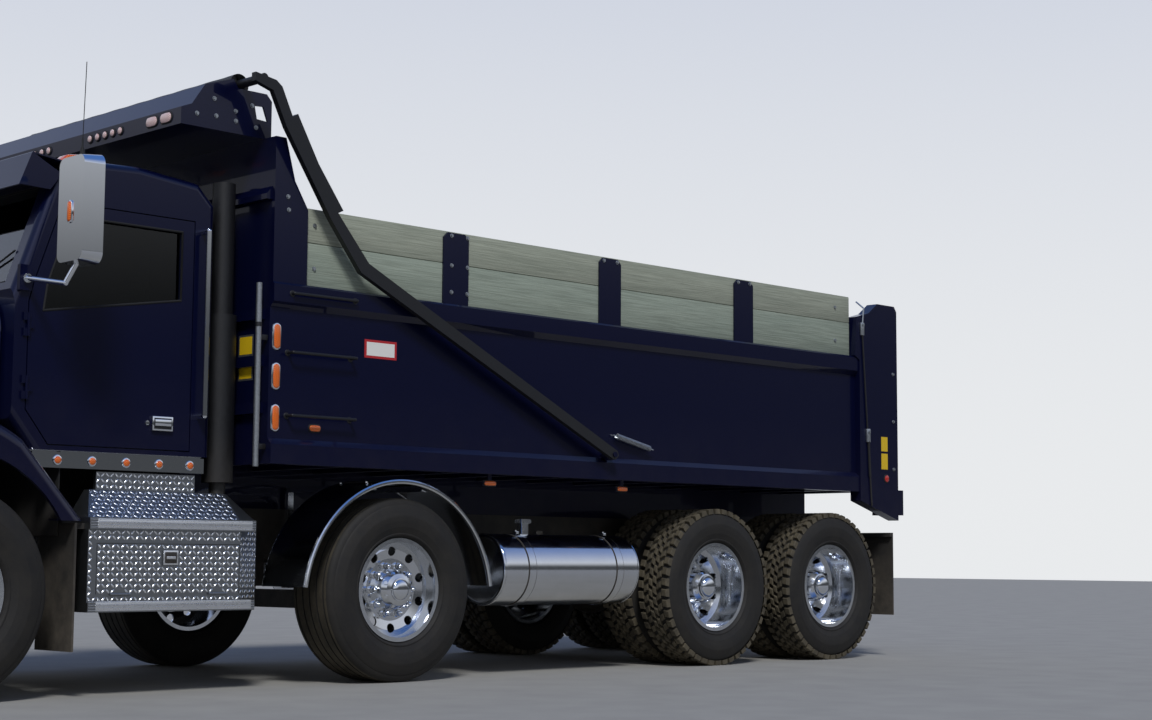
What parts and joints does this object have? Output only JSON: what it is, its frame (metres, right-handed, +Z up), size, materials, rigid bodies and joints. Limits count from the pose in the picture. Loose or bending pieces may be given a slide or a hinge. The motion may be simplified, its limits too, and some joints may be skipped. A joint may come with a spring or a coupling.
{
  "type": "four axle dump truck",
  "caption": "Conventional cab tipping truck with a steered front axle, a steered lift axle, twin drive axles, a steel dump body with sideboards, cab guard and tarp frame.",
  "frame": {"origin": "on the ground, midway between the bumper and the tail, on the centre line", "axes": "+X forward, +Y to the truck's left, +Z up"},
  "size_m": [9.15, 3.16, 3.3958],
  "materials": {
    "navy_paint": "gloss metallic",
    "chassis_black": "satin",
    "polished_aluminium": "polished",
    "chrome": "polished",
    "tyre_rubber": "matt, dusty",
    "flap_rubber": "matt",
    "tinted_glass": "clear",
    "cab_vinyl": "matt",
    "amber_lens": "gloss",
    "clear_lens": "gloss",
    "board_wood": "weathered",
    "tarp_cloth": "matt mesh"
  },
  "bodies": {
    "chassis": {"frame": "chassis_black", "bumper": "chrome", "engine": "chassis_black", "radiator": "chassis_black", "front_axle": "chassis_black", "lift_axle": "chassis_black", "drive_axles": "chassis_black", "cab_shell": "navy_paint", "cab_glass": "tinted_glass", "cab_interior": "cab_vinyl", "sun_visor": "navy_paint", "mirrors": "chrome", "cab_trim": "chrome", "cab_lamps": "amber_lens", "exhaust": "chrome", "step_boxes": "polished_aluminium", "tanks": "polished_aluminium", "lift_fenders": "polished_aluminium", "mud_flaps": "flap_rubber"},
    "hood": {"hood": "navy_paint", "grille": "chrome", "headlamps": "clear_lens"},
    "door_left": {"door_left": "navy_paint", "door_glass_left": "tinted_glass"},
    "door_right": {"door_right": "navy_paint", "door_glass_right": "tinted_glass"},
    "box_door_left": {"box_door_left": "polished_aluminium"},
    "box_door_right": {"box_door_right": "polished_aluminium"},
    "front_swivel_left": {"front_swivel_left": "chassis_black"},
    "front_swivel_right": {"front_swivel_right": "chassis_black"},
    "lift_swivel_left": {"lift_swivel_left": "chassis_black"},
    "lift_swivel_right": {"lift_swivel_right": "chassis_black"},
    "front_wheel_left": {"front_rim_left": "polished_aluminium", "front_tyre_left": "tyre_rubber"},
    "front_wheel_right": {"front_rim_right": "polished_aluminium", "front_tyre_right": "tyre_rubber"},
    "lift_wheel_left": {"lift_rim_left": "polished_aluminium", "lift_tyre_left": "tyre_rubber"},
    "lift_wheel_right": {"lift_rim_right": "polished_aluminium", "lift_tyre_right": "tyre_rubber"},
    "drive_a_wheels_left": {"drive_a_rims_left": "polished_aluminium", "drive_a_tyres_left": "tyre_rubber"},
    "drive_a_wheels_right": {"drive_a_rims_right": "polished_aluminium", "drive_a_tyres_right": "tyre_rubber"},
    "drive_b_wheels_left": {"drive_b_rims_left": "polished_aluminium", "drive_b_tyres_left": "tyre_rubber"},
    "drive_b_wheels_right": {"drive_b_rims_right": "polished_aluminium", "drive_b_tyres_right": "tyre_rubber"},
    "dump_body": {"dump_body": "navy_paint", "sideboards": "board_wood", "cab_guard": "navy_paint", "body_steps": "chrome", "body_lamps": "amber_lens", "tarp_springs": "chassis_black"},
    "tailgate": {"tailgate": "navy_paint"},
    "tarp_frame": {"tarp_arms": "navy_paint", "tarp_roll": "tarp_cloth"},
    "hoist_barrel": {"hoist_barrel": "chassis_black"},
    "hoist_rod": {"hoist_rod": "chrome"}
  },
  "joints": [
    {"name": "hood_tilt", "type": "hinge", "parent": "chassis", "child": "hood", "pos_m": [4.385, 0, 0.85], "axis": [0, 1, 0], "range_deg": [0, 60]},
    {"name": "door_left_swing", "type": "hinge", "parent": "chassis", "child": "door_left", "pos_m": [2.774, 1.07, 1.9], "axis": [0, 0, -1], "range_deg": [0, 55]},
    {"name": "door_right_swing", "type": "hinge", "parent": "chassis", "child": "door_right", "pos_m": [2.774, -1.07, 1.9], "axis": [0, 0, 1], "range_deg": [0, 55]},
    {"name": "box_door_left_drop", "type": "hinge", "parent": "chassis", "child": "box_door_left", "pos_m": [2, 1.228, 0.52], "axis": [-1, 0, 0], "range_deg": [0, 85]},
    {"name": "box_door_right_drop", "type": "hinge", "parent": "chassis", "child": "box_door_right", "pos_m": [2, -1.228, 0.52], "axis": [1, 0, 0], "range_deg": [0, 85]},
    {"name": "front_steer_left", "type": "hinge", "parent": "chassis", "child": "front_swivel_left", "pos_m": [3.225, 0.85, 0.53], "axis": [0, 0, 1], "range_deg": [-28, 28]},
    {"name": "front_steer_right", "type": "hinge", "parent": "chassis", "child": "front_swivel_right", "pos_m": [3.225, -0.85, 0.53], "axis": [0, 0, 1], "range_deg": [-28, 28]},
    {"name": "lift_steer_left", "type": "hinge", "parent": "chassis", "child": "lift_swivel_left", "pos_m": [0.445, 0.85, 0.53], "axis": [0, 0, 1], "range_deg": [-18, 18]},
    {"name": "lift_steer_right", "type": "hinge", "parent": "chassis", "child": "lift_swivel_right", "pos_m": [0.445, -0.85, 0.53], "axis": [0, 0, 1], "range_deg": [-18, 18]},
    {"name": "front_spin_left", "type": "hinge", "parent": "front_swivel_left", "child": "front_wheel_left", "pos_m": [3.225, 1.04, 0.53], "axis": [0, 1, 0], "continuous": true},
    {"name": "front_spin_right", "type": "hinge", "parent": "front_swivel_right", "child": "front_wheel_right", "pos_m": [3.225, -1.04, 0.53], "axis": [0, 1, 0], "continuous": true},
    {"name": "lift_spin_left", "type": "hinge", "parent": "lift_swivel_left", "child": "lift_wheel_left", "pos_m": [0.445, 1.07, 0.53], "axis": [0, 1, 0], "continuous": true},
    {"name": "lift_spin_right", "type": "hinge", "parent": "lift_swivel_right", "child": "lift_wheel_right", "pos_m": [0.445, -1.07, 0.53], "axis": [0, 1, 0], "continuous": true},
    {"name": "drive_a_spin_left", "type": "hinge", "parent": "chassis", "child": "drive_a_wheels_left", "pos_m": [-2.375, 1, 0.53], "axis": [0, 1, 0], "continuous": true},
    {"name": "drive_a_spin_right", "type": "hinge", "parent": "chassis", "child": "drive_a_wheels_right", "pos_m": [-2.375, -1, 0.53], "axis": [0, 1, 0], "continuous": true},
    {"name": "drive_b_spin_left", "type": "hinge", "parent": "chassis", "child": "drive_b_wheels_left", "pos_m": [-3.645, 1, 0.53], "axis": [0, 1, 0], "continuous": true},
    {"name": "drive_b_spin_right", "type": "hinge", "parent": "chassis", "child": "drive_b_wheels_right", "pos_m": [-3.645, -1, 0.53], "axis": [0, 1, 0], "continuous": true},
    {"name": "body_tip", "type": "hinge", "parent": "chassis", "child": "dump_body", "pos_m": [-4.305, 0, 1], "axis": [0, -1, 0], "range_deg": [0, 50]},
    {"name": "tailgate_swing", "type": "hinge", "parent": "dump_body", "child": "tailgate", "pos_m": [-4.44, 0, 2.39], "axis": [0, 1, 0], "range_deg": [0, 50]},
    {"name": "tarp_swing", "type": "hinge", "parent": "dump_body", "child": "tarp_frame", "pos_m": [-1.221, 0, 1.379], "axis": [0, -1, 0], "range_deg": [0, 118]},
    {"name": "hoist_swing", "type": "hinge", "parent": "chassis", "child": "hoist_barrel", "pos_m": [-3.5, 0, 0.87], "axis": [0, -1, 0], "range_deg": [0, 63.8]},
    {"name": "hoist_stroke", "type": "slide", "parent": "hoist_barrel", "child": "hoist_rod", "axis": [0.9915, 0, 0.1305], "range_m": [0, 0.464]}
  ],
  "couplings": [
    {"joint": "hoist_swing", "follows": "body_tip", "ratio": 1.2696},
    {"joint": "hoist_stroke", "follows": "body_tip", "m_per_rad": 0.52948},
    {"joint": "front_steer_right", "follows": "front_steer_left", "ratio": 1},
    {"joint": "lift_steer_right", "follows": "lift_steer_left", "ratio": 1}
  ]
}
